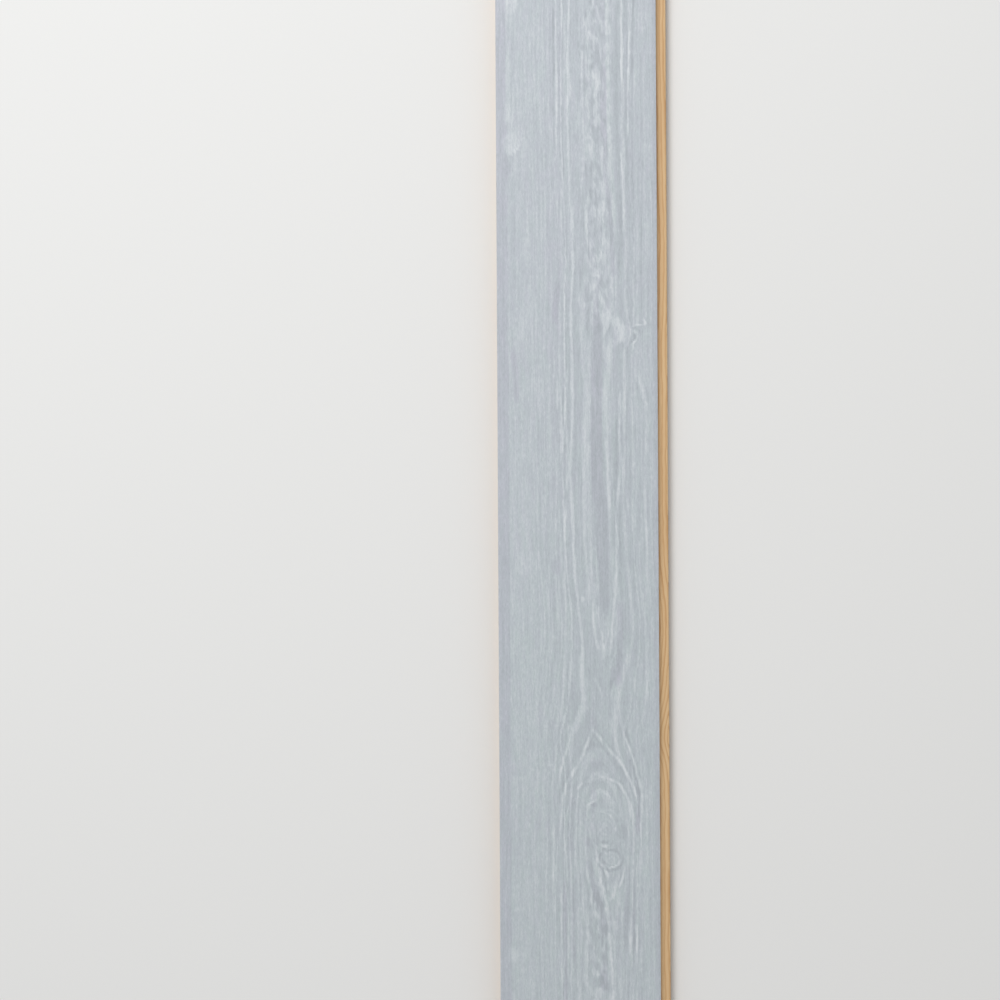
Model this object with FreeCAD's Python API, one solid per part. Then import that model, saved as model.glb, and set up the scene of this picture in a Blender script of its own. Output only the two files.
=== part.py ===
"""A tongue and groove board of planed softwood, made to lock edge to edge with its own kind.

The board is one piece of timber. Its section carries a tongue on one long edge and the matching
groove on the other, cut so that the faces close tightly and flush while the rest keeps a little
room. It lies face up: X runs across the width with the tongue towards +X, Y runs along the grain,
and Z is up. The origin is in the middle of the underside. Every size is in millimetres.
"""

import FreeCAD, Part
import math
import os

# The stock
board_length = 1200.0
face_width = 137.0
board_thickness = 19.0
face_arris_radius = 0.5
back_arris_radius = 1.2

# The tongue, a blade that thins towards a rounded nose, set a little nearer the back than the face
tongue_length = 9.0
tongue_tip_thickness = 5.6
tongue_flank_taper = 0.3
tongue_below_middle = 0.6
tongue_nose_radius = 1.4
tongue_root_radius = 0.5

# The groove, which is the tongue's own shape with these clearances round it
flank_clearance = 0.2
nose_clearance = 1.0
groove_floor_radius = 1.0
upper_lip_lead_in = 0.5
lower_lip_lead_in = 1.2
lower_lip_setback = 0.6

# The relief channels along the back, which keep the board from cupping
relief_count = 4
relief_floor_width = 7.0
relief_side_run = 1.0
relief_depth = 2.0
relief_floor_radius = 0.8
relief_edge_margin = 17.0

# A rounding takes at most this share of the shorter flat beside it
largest_rounding_share = 0.45

groove_edge_x = -(face_width + tongue_length) / 2
tongue_edge_x = groove_edge_x + face_width
tongue_tip_x = tongue_edge_x + tongue_length
tongue_middle_z = board_thickness / 2 - tongue_below_middle
tongue_tip_half = tongue_tip_thickness / 2
tongue_root_half = tongue_tip_half + tongue_flank_taper
groove_depth = tongue_length + nose_clearance
groove_floor_half = tongue_tip_half + flank_clearance
groove_mouth_half = tongue_root_half + flank_clearance
relief_floor_half = relief_floor_width / 2
relief_mouth_half = relief_floor_half + relief_side_run


def tongue_corners():
    """The tongue's corners from its lower root round the nose to its upper root: x, z, radius."""
    return [
        (tongue_edge_x, tongue_middle_z - tongue_root_half, tongue_root_radius),
        (tongue_tip_x, tongue_middle_z - tongue_tip_half, tongue_nose_radius),
        (tongue_tip_x, tongue_middle_z + tongue_tip_half, tongue_nose_radius),
        (tongue_edge_x, tongue_middle_z + tongue_root_half, tongue_root_radius),
    ]


def groove_corners():
    """The groove's corners from its upper lip round the floor to its set-back lower lip."""
    floor_x = groove_edge_x + groove_depth
    lower_lip_x = groove_edge_x + lower_lip_setback
    taper_left = (floor_x - lower_lip_x) / groove_depth
    lower_mouth_half = groove_floor_half + (groove_mouth_half - groove_floor_half) * taper_left
    return [
        (groove_edge_x, tongue_middle_z + groove_mouth_half, upper_lip_lead_in),
        (floor_x, tongue_middle_z + groove_floor_half, groove_floor_radius),
        (floor_x, tongue_middle_z - groove_floor_half, groove_floor_radius),
        (lower_lip_x, tongue_middle_z - lower_mouth_half, lower_lip_lead_in),
    ]


def relief_centres():
    """The middle of each relief channel, spread evenly between the two edge margins."""
    first = groove_edge_x + relief_edge_margin + relief_mouth_half
    last = tongue_edge_x - relief_edge_margin - relief_mouth_half
    if relief_count == 1:
        return [(first + last) / 2]
    pitch = (last - first) / (relief_count - 1)
    return [first + pitch * number for number in range(relief_count)]


def relief_corners(centre_x):
    """One channel's corners, from its mouth nearer the groove to its mouth nearer the tongue."""
    return [
        (centre_x - relief_mouth_half, 0, 0),
        (centre_x - relief_floor_half, relief_depth, relief_floor_radius),
        (centre_x + relief_floor_half, relief_depth, relief_floor_radius),
        (centre_x + relief_mouth_half, 0, 0),
    ]


def section_corners():
    """Every corner of the board's section, counter-clockwise from the back of the groove side."""
    corners = [(groove_edge_x + lower_lip_setback, 0, back_arris_radius)]
    for centre_x in relief_centres():
        corners += relief_corners(centre_x)
    corners += [(tongue_edge_x, 0, back_arris_radius)]
    corners += tongue_corners()
    corners += [
        (tongue_edge_x, board_thickness, face_arris_radius),
        (groove_edge_x, board_thickness, face_arris_radius),
    ]
    return corners + groove_corners()


def rounded_corner(before, corner, after, radius):
    """Where a corner's rounding starts, bulges and ends, between its two neighbouring corners."""
    shorter_side = min(before.distanceToPoint(corner), after.distanceToPoint(corner))
    to_before = (before - corner).normalize()
    to_after = (after - corner).normalize()
    half_angle = to_before.getAngle(to_after) / 2
    setback = min(radius / math.tan(half_angle), shorter_side * largest_rounding_share)
    radius = setback * math.tan(half_angle)
    bisector = (to_before + to_after).normalize()
    centre = corner + bisector * (radius / math.sin(half_angle))
    return corner + to_before * setback, centre - bisector * radius, corner + to_after * setback


def rounded_outline(corners, y):
    """A closed wire at one y through corners given as x, z and radius; a radius of 0 stays sharp."""
    points = [FreeCAD.Vector(x, y, z) for x, z, _ in corners]
    turns = []
    for index, (_, _, radius) in enumerate(corners):
        after = points[(index + 1) % len(points)]
        turns.append(rounded_corner(points[index - 1], points[index], after, radius))
    edges = []
    for index, (start, middle, end) in enumerate(turns):
        edges.append(Part.LineSegment(turns[index - 1][2], start).toShape())
        if corners[index][2] > 0:
            edges.append(Part.Arc(start, middle, end).toShape())
    return Part.Wire(edges)


def make_board():
    """The section carried straight along the grain, with both ends cross-cut square."""
    outline = rounded_outline(section_corners(), -board_length / 2)
    return Part.Face(outline).extrude(FreeCAD.Vector(0, board_length, 0))


board = make_board()
os.makedirs("parts", exist_ok=True)
board.exportStep("parts/board.step")
print("valid", board.isValid(), "volume_cm3", round(board.Volume / 1000, 2))
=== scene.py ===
"""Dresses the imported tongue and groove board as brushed, painted pine, and sets it on a pale floor.

The board lies face up: X runs across it with the tongue towards +X, Y runs along the grain, and Z
is up. Blender works in metres. The section and the grain are drawn here in millimetres, because
that is how a joiner would measure them.
"""

import math
from functools import partialmethod
from typing import NamedTuple

import bpy
import numpy as np
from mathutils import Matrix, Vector, noise


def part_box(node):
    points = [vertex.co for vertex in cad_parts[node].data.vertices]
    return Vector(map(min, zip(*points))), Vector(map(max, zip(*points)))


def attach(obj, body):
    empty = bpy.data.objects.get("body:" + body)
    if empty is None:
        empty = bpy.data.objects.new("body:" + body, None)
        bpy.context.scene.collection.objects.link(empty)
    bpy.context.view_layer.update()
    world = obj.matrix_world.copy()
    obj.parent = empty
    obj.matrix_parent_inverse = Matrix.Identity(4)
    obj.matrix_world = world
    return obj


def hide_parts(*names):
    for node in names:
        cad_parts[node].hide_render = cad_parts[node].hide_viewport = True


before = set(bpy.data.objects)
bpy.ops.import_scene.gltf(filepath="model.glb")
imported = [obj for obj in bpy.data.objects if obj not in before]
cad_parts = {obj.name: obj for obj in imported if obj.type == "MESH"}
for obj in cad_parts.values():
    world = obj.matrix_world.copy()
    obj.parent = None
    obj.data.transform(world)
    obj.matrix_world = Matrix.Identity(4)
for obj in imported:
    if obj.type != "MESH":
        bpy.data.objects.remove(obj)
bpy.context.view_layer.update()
stock_low, stock_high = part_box("board")

bl_info = {
    "name": "Tongue and groove board",
    "version": (1, 0, 0),
    "blender": (4, 5, 0),
    "location": "3D View > Sidebar > Board",
    "description": "A brushed and painted softwood lining board, and the studio that it lies in",
    "category": "Add Mesh",
}

MM = 0.001


def to_mm(metres):
    """A length or place of the frame in mm, to a thousandth."""
    return round(metres / MM, 3)


FACE_WIDTH = 137.0
FACE_HEIGHT = to_mm(stock_high.z)
STOCK_END = to_mm(stock_high.y)
GROOVE_EDGE = to_mm(stock_low.x)
TONGUE_EDGE = GROOVE_EDGE + FACE_WIDTH
FACE_MIDDLE = (GROOVE_EDGE + TONGUE_EDGE) / 2


# The tree that the board was sawn from. Places are in mm in the board's own frame.

class Grain(NamedTuple):
    """One layer of natural unevenness: its reach in mm three ways, its start, and how rough it is."""
    across: float
    along: float
    deep: float
    start: float
    detail: float = 1.0
    roughness: float = 0.5


class Climb(NamedTuple):
    """A stretch of the length over which the face passes into later or earlier rings."""
    y: float
    reach: float
    rings: float


class Bend(NamedTuple):
    """A sideways bend in the pith, which the figure's middle follows."""
    y: float
    reach: float
    shift: float


class Knot(NamedTuple):
    """A branch that the rings part round."""
    x: float
    y: float
    across: float
    above: float
    below: float
    rings: float


class Branch(NamedTuple):
    """The cut branch itself inside a knot, with rings of its own and perhaps a rim of bark."""
    x: float
    y: float
    half_width: float
    half_height: float
    ring_gap: float
    ring_tone: float
    rim_tone: float = 0.0
    tone: float = 0.0


class Ridge(NamedTuple):
    """A line that brushing left proud, through its places from top to bottom.

    A furrow has a minus tone. A ridge's pale line is partly painted highlight. The darker flank on both its
    sides is partly painted shade, and so is a furrow's deep tone. A line that widens or narrows downward
    has a lower half width too.
    """
    tone: float
    places: tuple
    half_width: float = 0.9
    lower_half_width: float = 0.0


class Band(NamedTuple):
    """A strip where the paint is paler or deeper, or where shade is painted on, and greener or redder,
    through its places downward.
    """
    tone: float
    hue: float
    places: tuple
    half_width: float
    lower_half_width: float = 0.0


class Blotch(NamedTuple):
    """A small place where the paint lies paler or deeper, and greener or redder."""
    x: float
    y: float
    half_width: float
    half_height: float
    tone: float
    hue: float


PITH_ACROSS = 12.5
PITH_DEPTH = 80.0
RING_WIDTH = 1.8
CENTRE_RING = 40.35
MIDDLE_REACH = 27.0
HEART_REACH = 14.0
KNOT_FLATNESS = 0.7

WAVER = Grain(across=5.0, along=16.0, deep=9.0, start=11.3, roughness=0.6)
WAVER_MM = 1.6
ISLANDS = Grain(across=6.0, along=18.0, deep=9.0, start=7.1, roughness=0.55)
STIRRED_RINGS = 1.7
CALM_RINGS = 0.35
SWAY = Grain(across=26.0, along=110.0, deep=26.0, start=3.3)
SWAY_RINGS = 1.2
RING_CLUSTER = 2.0
RING_CLUSTER_START = 4.2

# The calm stretch, with the grain unbroken, lies between the lower and the upper of these
UPPER_STIR_FROM, UPPER_STIR_TO = 125.0, 175.0
LOWER_STIR_FROM, LOWER_STIR_TO = -345.0, -300.0

CLIMBS = (
    Climb(y=185.0, reach=24.0, rings=-0.5),
    Climb(y=148.0, reach=24.0, rings=0.5),
    Climb(y=-116.0, reach=30.0, rings=0.7),
    Climb(y=-150.0, reach=20.0, rings=0.6),
    Climb(y=-207.0, reach=20.0, rings=-1.0),
    Climb(y=-250.0, reach=40.0, rings=-1.2),
    Climb(y=-400.0, reach=100.0, rings=-0.5),
)
BENDS = (
    Bend(y=226.0, reach=60.0, shift=2.0),
    Bend(y=-110.0, reach=50.0, shift=6.0),
    Bend(y=-203.0, reach=22.0, shift=-6.0),
)
KNOTS = (
    Knot(x=33.0, y=143.0, across=9.0, above=12.0, below=11.0, rings=0.95),
    Knot(x=15.5, y=-276.0, across=26.0, above=40.0, below=70.0, rings=1.6),
    Knot(x=22.0, y=-308.5, across=12.0, above=12.0, below=30.0, rings=0.7),
    Knot(x=15.5, y=226.0, across=10.0, above=30.0, below=28.0, rings=0.9),
)
BRANCHES = (
    Branch(x=17.0, y=-282.0, half_width=17.0, half_height=22.0, ring_gap=3.4, ring_tone=1.0),
    Branch(x=21.5, y=-308.3, half_width=10.0, half_height=8.8, ring_gap=3.6, ring_tone=0.9,
           rim_tone=5.0, tone=0.8),
)

# What shows on the face of this very board. The lines were read off the photograph by eye, in its pixels,
# and a small script then turned them into mm, thinned them where they run straight, and rounded them
RIDGES = (
    # the torn knot on the right
    Ridge(4.6, ((52, 154), (49, 149), (43, 148))),
    Ridge(4.8, ((41, 145), (45, 143), (46.5, 140), (45.5, 136), (42.5, 132))),
    Ridge(-4.4, ((41.5, 147), (45.5, 146), (49, 143)), 0.8),
    Ridge(-4.4, ((44, 141), (44.5, 137), (41.5, 134)), 0.8),
    Ridge(1.8, ((56, 137), (52.5, 132), (50, 126))),
    Ridge(-2.2, ((33.5, 134), (37, 128), (38.5, 118)), 1.7),
    # the rim of the covered knot by the left edge
    Ridge(2.6, ((-53.5, 313), (-52, 307), (-53.5, 302), (-56.5, 298), (-62, 294)), 0.8),
    # left of the middle, down to the arch
    Ridge(3.8, ((-20.5, 610), (-21.5, 376), (-21, 346), (-22.5, 290))),
    Ridge(2.4, ((-22, 284), (-21, 239))),
    Ridge(2.6, ((-14.5, 610), (-14.5, 401), (-13.5, 376), (-13, 316)), 1.2, 1.1),
    Ridge(3.2, ((-17, 299), (-17.5, 243), (-16.5, 215)), 0.8, 0.9),
    Ridge(4, ((-16.5, 208), (-16, 191)), 1, 0.9),
    Ridge(2, ((-17.5, 188), (-15.5, 171), (-15, 145), (-16, 124), (-15, 104)), 1),
    Ridge(1.8, ((3, 610), (1.5, 401), (0.5, 359), (1.5, 320), (1.5, 290), (-1, 256), (-4.5, 143))),
    Ridge(3, ((-22, 106), (-22, 75))),
    Ridge(3.2, ((-19, 90), (-18.5, 60), (-19, 31))),
    Ridge(2.2, ((-23.5, 55), (-23, 17), (-23.5, -26))),
    Ridge(3.2, ((-12.5, 111), (-14.5, 90), (-14.5, 64), (-13.5, 43), (-14, 9)), 1, 0.9),
    Ridge(2.4, ((-15, 0), (-16, -68), (-15.5, -87), (-16.5, -124))),
    Ridge(2, ((-16.5, -126), (-18, -162), (-20, -190))),
    Ridge(2.2, ((0, -26), (5.5, -85))),
    # the two nested points in the middle
    Ridge(2.2, ((10, -41), (11.5, -56), (12, -77)), 0.9, 1),
    Ridge(2.4, ((7.5, -85), (8.5, -107), (11, -126), (14.5, -137)), 1),
    Ridge(2.4, ((11, -94), (14, -109), (15.5, -120), (17, -128)), 0.8),
    Ridge(2.2, ((21, -113), (19, -121), (16.5, -128)), 0.8),
    Ridge(3.6, ((20, 51), (21, 17), (22.5, -7)), 1.6, 1.4),
    Ridge(4, ((31.5, 89), (31, 60), (31.5, 34), (29, -4), (28.5, -51), (27.5, -73)), 1),
    Ridge(3, ((27.5, -71), (22, -135)), 1, 0.9),
    Ridge(3, ((9.5, -153), (12, -160), (15, -169)), 1.4, 0.8),
    Ridge(2.6, ((26, -132), (23.5, -138), (21.5, -147)), 1, 0.8),
    Ridge(2.4, ((25.5, -156), (23, -168)), 0.8, 0.7),
    # the eye in the middle
    Ridge(2.6, ((5.5, 258), (4, 243), (4.5, 229), (6.5, 214)), 1.4),
    Ridge(2.4, ((16, 266), (19, 249), (19, 226), (17, 208)), 1.4),
    # right of the middle, down to the arch
    Ridge(4.4, ((36, 610), (34.5, 359))),
    Ridge(3, ((33.5, 299), (35.5, 252), (35, 224))),
    Ridge(4.4, ((43, 610), (42.5, 410), (41, 384), (39.5, 312))),
    Ridge(2.8, ((29.5, 217), (28.5, 196), (29.5, 171))),
    Ridge(2.2, ((47.5, 185), (43, 154)), 1.1),
    Ridge(3, ((47, 104), (50.5, 95), (53.5, 84), (54.5, 41)), 1.6, 1.1),
    Ridge(2.8, ((52.5, 10), (54, -34), (54, -64), (53, -85), (53.5, -143), (53, -171)), 1),
    Ridge(2, ((38, 64), (38, 26))),
    Ridge(2.2, ((43, 70), (43.5, 24))),
    Ridge(2.8, ((38, 2), (38, -12)), 1),
    Ridge(2, ((44, -15), (43.5, -41)), 1),
    # the arch over the large knot
    Ridge(2.4, ((-23, -205), (-27.5, -245))),
    Ridge(3.6, ((-13.5, -193), (-14, -207), (-17, -218), (-20, -229), (-22.5, -244)), 1),
    Ridge(4.4, ((6.5, -197), (2, -209), (-4, -223), (-11, -235), (-16.5, -246), (-19, -258)), 1.3, 1.1),
    Ridge(2.6, ((-19, -259), (-22, -289))),
    Ridge(3.8, ((-13, -259), (-15.5, -269), (-16.5, -286), (-15.5, -325))),
    Ridge(2.6, ((-25.5, -269), (-27, -295), (-26.5, -371))),
    Ridge(4.4, ((6.5, -196), (11.5, -202), (16.5, -209), (21.5, -215), (26.5, -220), (31, -226),
          (36, -234), (40, -243), (44, -254)), 1.3, 1.1),
    Ridge(3.8, ((30.5, -180), (31, -191), (34.5, -203), (38.5, -214), (42, -225), (45, -236),
          (47.5, -246), (48.5, -258), (48, -272)), 1),
    Ridge(2.2, ((47.5, -275), (48.5, -314))),
    Ridge(4, ((11.5, -235), (15.5, -237), (21.5, -239), (27.5, -242), (32.5, -248), (36, -254),
          (38, -261), (38.5, -272)), 1.1, 1),
    Ridge(2.4, ((2, -241), (-2.5, -243), (-7, -248))),
    Ridge(3.6, ((10.5, -256), (7, -258), (1, -262))),
    Ridge(2.6, ((40, -259), (43, -287))),
    Ridge(2, ((37, -275), (38, -292))),
    Ridge(2, ((15.5, -250), (21.5, -254), (25.5, -260)), 0.8),
    Ridge(1.8, ((10, -266), (18, -268), (23, -273), (25.5, -280)), 0.8),
    Ridge(2, ((26.5, -278), (25.5, -284), (22.5, -289)), 0.7),
    Ridge(1.8, ((19.5, -278), (14.5, -281), (12, -284)), 0.7),
    Ridge(1.8, ((21, -286), (17, -288), (13.5, -287)), 0.7),
    Ridge(1.8, ((0.5, -273), (-4.5, -277), (-7, -282)), 0.8),
    Ridge(1.6, ((-3.5, -253), (-8.5, -256), (-12, -261)), 0.8),
    # below the knots
    Ridge(3.2, ((9.5, -309), (11, -318), (13.5, -329), (16, -340), (18.5, -349)), 2.3, 1.2),
    Ridge(4, ((18.5, -299), (13, -302), (10.5, -306), (10, -311))),
    Ridge(5.6, ((10, -301), (10.5, -307), (13.5, -312), (16.5, -316), (19.5, -323)), 1, 1.2),
    Ridge(4.8, ((28.5, -310), (26, -313), (22.5, -314), (21, -318), (20, -323)), 0.7, 1.1),
    Ridge(-4.4, ((14, -303), (14.5, -307), (17.5, -311), (21, -313)), 0.8),
    Ridge(1.8, ((20.5, -298), (27, -301), (31.5, -306), (32, -311)), 0.7),
    Ridge(3, ((18.5, -348), (22, -397), (22.5, -610)), 1, 1.4),
    Ridge(3.6, ((33.5, -313), (31.5, -325), (28, -333))),
    Ridge(2.4, ((39.5, -318), (38.5, -366)), 1),
    Ridge(3.8, ((38, -372), (37.5, -388)), 1.4, 1.3),
    Ridge(2.6, ((35.5, -393), (34.5, -414), (35, -610)), 1),
    Ridge(2.4, ((45.5, -330), (44, -348)), 0.8),
    Ridge(4, ((43.5, -362), (43.5, -380), (41.5, -406), (41, -610)), 1),
    Ridge(3, ((-20.5, -331), (-20.5, -610))),
    Ridge(2.6, ((-15, -337), (-14, -610))),
    Ridge(2.8, ((4.5, -333), (5, -348)), 1),
    Ridge(2, ((-6.5, -346), (-7, -376), (-6.5, -397)), 1),
    Ridge(2.2, ((-38, -374), (-38, -395)), 0.7),
    # furrows
    Ridge(-2.6, ((-23.5, 427), (-23.5, 376), (-24.5, 325)), 1),
    Ridge(-2.2, ((-10.5, 401), (-9.5, 252)), 1),
    Ridge(-2.8, ((45, 610), (44.5, 401), (43.5, 376), (43, 290), (44, 218))),
    Ridge(-2.6, ((51.5, 380), (51.5, 256), (50.5, 214), (50.5, 162)), 0.8),
    Ridge(-3.2, ((26.5, 161), (24, 152), (21, 140), (20, 128)), 1),
    Ridge(-2.4, ((38, 307), (38.5, 265))),
    Ridge(-2.6, ((12.5, -102), (13, -123)), 0.8),
    Ridge(-2.6, ((3.5, -143), (4.5, -153)), 1),
    Ridge(-2.8, ((23, -154), (22.5, -164)), 1),
    Ridge(-2.4, ((33, -184), (35.5, -198), (38.5, -209)), 1),
    Ridge(-2.4, ((45, -231), (46.5, -248), (49.5, -261))),
    Ridge(-2.8, ((9, 245), (9, 222)), 1.2),
)
BANDS = (
    # These first two are painted shade along both edges of the face, deeper and more lavender there
    Band(-1.9, -0.9, ((-69.5, 610), (-68.5, 0), (-69, -610)), 4.6, 5.6),
    Band(-1.5, -0.4, ((62, 610), (62, -610)), 2.2),
    Band(1.8, 0.3, ((-63, 386), (-62.5, 325)), 1.6, 2.6),
    Band(-1.6, -0.4, ((-65.5, 292), (-63, 285), (-63, 277)), 2.2),
    Band(-1.4, -0.4, ((19, 610), (19, 367)), 2),
    Band(-2.6, -1.1, ((19, 369), (19, 310)), 2.7),
    Band(-2.2, -0.5, ((21, 311), (19.5, 282), (24, 249), (26.5, 192)), 1.4, 1.7),
    Band(1.3, 0.6, ((24, 610), (23.5, 320), (24.5, 286), (27, 265), (28, 235)), 1.8),
    Band(-1.9, 0.2, ((30, 610), (31, 401), (29.5, 359), (29.5, 333), (32.5, 209),
          (31.5, 190)), 1.6),
    Band(-1.7, 0, ((0, 258), (1, 195)), 1.6),
    Band(-2.3, -1, ((11.5, 171), (12.5, 137), (12, 105)), 2, 4.6),
    Band(-2.3, -1, ((12, 107), (11.5, 26), (13, -2)), 4.7, 5),
    Band(-1.7, -0.6, ((15, 0), (18, -96)), 6, 3.4),
    Band(-2, -0.8, ((31, -88), (30, -160)), 2.2, 2.8),
    Band(1.5, 0.4, ((22.5, 134), (23, 118), (20, 99), (19.5, 44)), 2.4, 2.2),
    Band(-2, 0.5, ((28, 68), (27, 43), (27, 17), (25.5, -13), (25, -41)), 1.8),
    Band(-1.5, 0.3, ((32, -4), (31.5, -87)), 1.7),
    Band(1.1, 0, ((3.5, 104), (3.5, 60), (0.5, -4), (0.5, -32)), 2.6, 1.8),
    Band(-1.9, -1, ((-59.5, 128), (-57.5, 107), (-57, 83)), 2.4, 2.2),
    Band(-1.4, 0, ((-57.5, 273), (-58, 243), (-57.5, 178)), 2),
    Band(-2, -1.1, ((-21.5, 184), (-23.5, 152)), 2.7, 2.4),
    Band(-2, -0.4, ((5, -202), (5.5, -216)), 1, 5),
    Band(-1.6, -0.2, ((-8.5, -220), (-14.5, -232), (-19.5, -244), (-21.5, -256)), 1.4),
    Band(-1.6, -0.2, ((-11.5, -256), (-12, -278), (-11.5, -301)), 2),
    Band(-1.2, -0.2, ((18, -219), (25, -229), (31.5, -240)), 3.5, 4),
    Band(-1.8, -0.5, ((38, -219), (45.5, -252), (46, -275)), 1.5, 1.6),
    Band(-1.8, -1, ((45, -266), (45, -285)), 2),
    Band(-2.3, -0.6, ((2.5, -309), (10.5, -342), (15, -354), (15.5, -374)), 2.4, 2.6),
    Band(-1.6, 0.3, ((15.5, -374), (16, -393)), 2.4),
    Band(-1.9, -1.1, ((15.5, -400), (16, -420)), 3.2),
    Band(1.6, 0.4, ((26.5, -328), (26, -345)), 2.4),
    Band(-1.6, -0.7, ((36.5, -314), (35.5, -346), (33.5, -377)), 1.8, 1.7),
    Band(-1.6, -0.8, ((-18, -325), (-17.5, -367), (-17.5, -610)), 1.4),
    Band(-1.4, -0.6, ((-10.5, -336), (-11, -367), (-10, -393)), 1.8),
    Band(-1.8, -0.6, ((41.5, -333), (41, -384)), 1),
    Band(-1.7, -0.3, ((47, -344), (47, -382)), 1),
    Band(2.8, 0.2, ((15.5, 175), (18, 165), (21, 155)), 0.9, 4.8),
    Band(2.8, 0.2, ((21, 155), (20, 149), (19, 140)), 4.8, 0.5),
)
BLOTCHES = (
    # broad drifts of the whole finish
    Blotch(-61, 26, 22, 940, 0.4, 0),
    Blotch(-24, 316, 7, 360, -0.5, -0.3),
    Blotch(-25, -273, 7, 280, -0.6, 0),
    Blotch(-9, 316, 6, 180, 0.8, 0),
    Blotch(4, 350, 7, 160, -0.9, 0),
    Blotch(45.5, -51, 24, 680, -0.3, 0),
    Blotch(-5.5, 478, 260, 380, 0, -0.2),
    Blotch(-10.5, -461, 260, 430, 0, 0.3),
    # single places
    Blotch(-60.5, 425, 7.5, 11, 2.6, -0.1),
    Blotch(-60.5, 304.5, 8, 11, 2.4, 0.1),
    Blotch(-62.5, 328, 5, 9, 1.4, 0.2),
    Blotch(-62.5, -389, 5, 7.5, 2.2, 0),
    Blotch(8.5, 403, 6, 11, 1.6, -0.2),
    Blotch(12.5, 357, 4.5, 7.5, 1.6, 0.3),
    Blotch(10, 180, 4, 7.5, 2.2, 0),
    Blotch(15.5, 299, 2.5, 10, 2.2, 0),
    Blotch(7.5, 303, 2, 7.5, 1.8, 0),
    Blotch(34, 142, 7.5, 8.5, 3.3, -0.1),
    Blotch(28.5, 151, 4.5, 5, 2.2, 0.3),
    Blotch(-1, -85, 2, 2.5, 3.4, 0),
    Blotch(9.5, 383, 1.5, 5, -2, 0),
    Blotch(11, 369, 2.5, 4.5, -2, 0),
    Blotch(3.5, 417, 2, 6, -1.6, -0.3),
    Blotch(4, 355, 2, 7, -1.6, 0),
    Blotch(4, -280, 4.5, 5, 0.6, -0.5),
    Blotch(3, -293, 3.5, 4.5, -1.6, -0.5),
    Blotch(2, -243, 2, 2.5, -2.8, 0),
    Blotch(7.5, -261, 2.5, 2, -2.4, -0.5),
    Blotch(8, -225, 3.5, 5, -0.8, -0.7),
    Blotch(7, -252, 3.5, 4.5, -0.8, -0.8),
    Blotch(17, -296, 4, 1.5, 4, 0),
    Blotch(16, -293, 3, 1.5, -4, 0),
    Blotch(16.5, -299, 3.5, 1, -3.4, 0),
    Blotch(10.5, -293, 1.5, 3, -2.6, 0),
    Blotch(32, -284, 4.5, 7.5, -1.8, -0.1),
    Blotch(27, -151, 5, 8.5, -1, -0.8),
    Blotch(53, 410, 6, 12, 0.6, -0.4),
    Blotch(-23.5, -57, 4.5, 7, -0.8, -0.7),
)
BRANCH_WARP = Grain(across=9.0, along=9.0, deep=20.0, start=2.2, detail=2.0)
BRANCH_WARP_MM = 8.0
BRANCH_RIM = 0.09

# What wire brushing, paint and painted light make of the rings, in steps of tone: plus is paler, minus is
# deeper

LIGHT_FROM, LIGHT_SPREAD = 0.35, 0.4
LIGHT_EDGE = 0.10
LIGHT_ENDS = 0.94
CREST_FROM, CREST_FULL = 0.72, 0.86
CRESTED_FROM, CRESTED_FULL = 0.45, 0.75
FAINTEST_RING = 0.4
# The pale and the deep part of each ring are partly paint rubbed thin on the ridge and pooled in the
# furrow, and partly painted highlight and painted shade
RUBBED_AND_LIT_TONE = 1.0
POOLED_AND_SHADED_TONE = 1.2
# The crest's paler tone is a painted highlight along the top of a ring's ridge; its relief is real
CREST_PAINTED_HIGHLIGHT = 1.6
CREST_RELIEF = 0.6
RING_RELIEF_LEVEL = 0.6

# Each year draws where its light part begins, how strong it is and whether it has a crest. The starts of
# these draws were picked out of 3,000 each, so that the years come out much as on this board
LIGHT_DRAW, STRENGTH_DRAW, CREST_DRAW = 2393.5, 1675.5, 847.5

# A spell of good or bad years makes several rings paler or deeper together
SPELL_TONE = 1.5
SPELL_RINGS = 4.3
SPELL_START = 9.1

RAGGED = Grain(across=1.6, along=9.0, deep=5.0, start=4.9, detail=3.0, roughness=0.7)
RAGGEDNESS = 0.5
ISLETS = Grain(across=3.6, along=10.0, deep=9.0, start=7.7)
ISLET_EDGE = 0.02
ISLET_RAGGEDNESS = 0.4
ISLET_TONE = 3.8
HEART_X, HEART_HALF = 13.0, 12.0
PATCHES = Grain(across=11.0, along=45.0, deep=20.0, start=6.6, detail=2.0, roughness=0.6)
PATCH_TONE = 2.5
HUES = Grain(across=5.0, along=22.0, deep=15.0, start=2.9, detail=3.0, roughness=0.75)
HUE_SWING = 3.6

BRANCH_COVER = 0.75
BRANCH_RING_RELIEF = 0.3
BRANCH_LEVEL = 0.4
BRANCH_RIM_DROP = 0.5

STREAKS = Grain(across=1.9, along=34.0, deep=9.0, start=1.7, detail=4.0, roughness=0.65)
STREAK_TONE = 9.8
STREAK_HEIGHT = 1.5
FIBRES = Grain(across=1.0, along=4.0, deep=3.0, start=5.7, detail=2.0, roughness=0.8)
FIBRE_TONE = 11.0
MOTTLE = Grain(across=4.5, along=8.0, deep=6.0, start=8.8, detail=3.0, roughness=0.65)
MOTTLE_TONE = 4.5

# The plain side has little figure, and lies beyond the first of these towards the groove
PLAIN_FROM, PLAIN_ENDS = -44.0, -30.0
PLAIN_RING_SHARE = 0.65
PLAIN_STREAK_SHARE = 0.05

# How the drawn ridges, bands and blotches lie in the wood
WORN = Grain(across=2.5, along=16.0, deep=8.0, start=3.7)
WORN_SWING = 1.2
RAGGED_LINE = Grain(across=1.8, along=8.0, deep=5.0, start=4.9)
RAGGED_LINE_MM = 0.9
SLOPE_STEP = 0.6
LINE_END = 5.0
BAND_EDGE = 0.45
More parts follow.
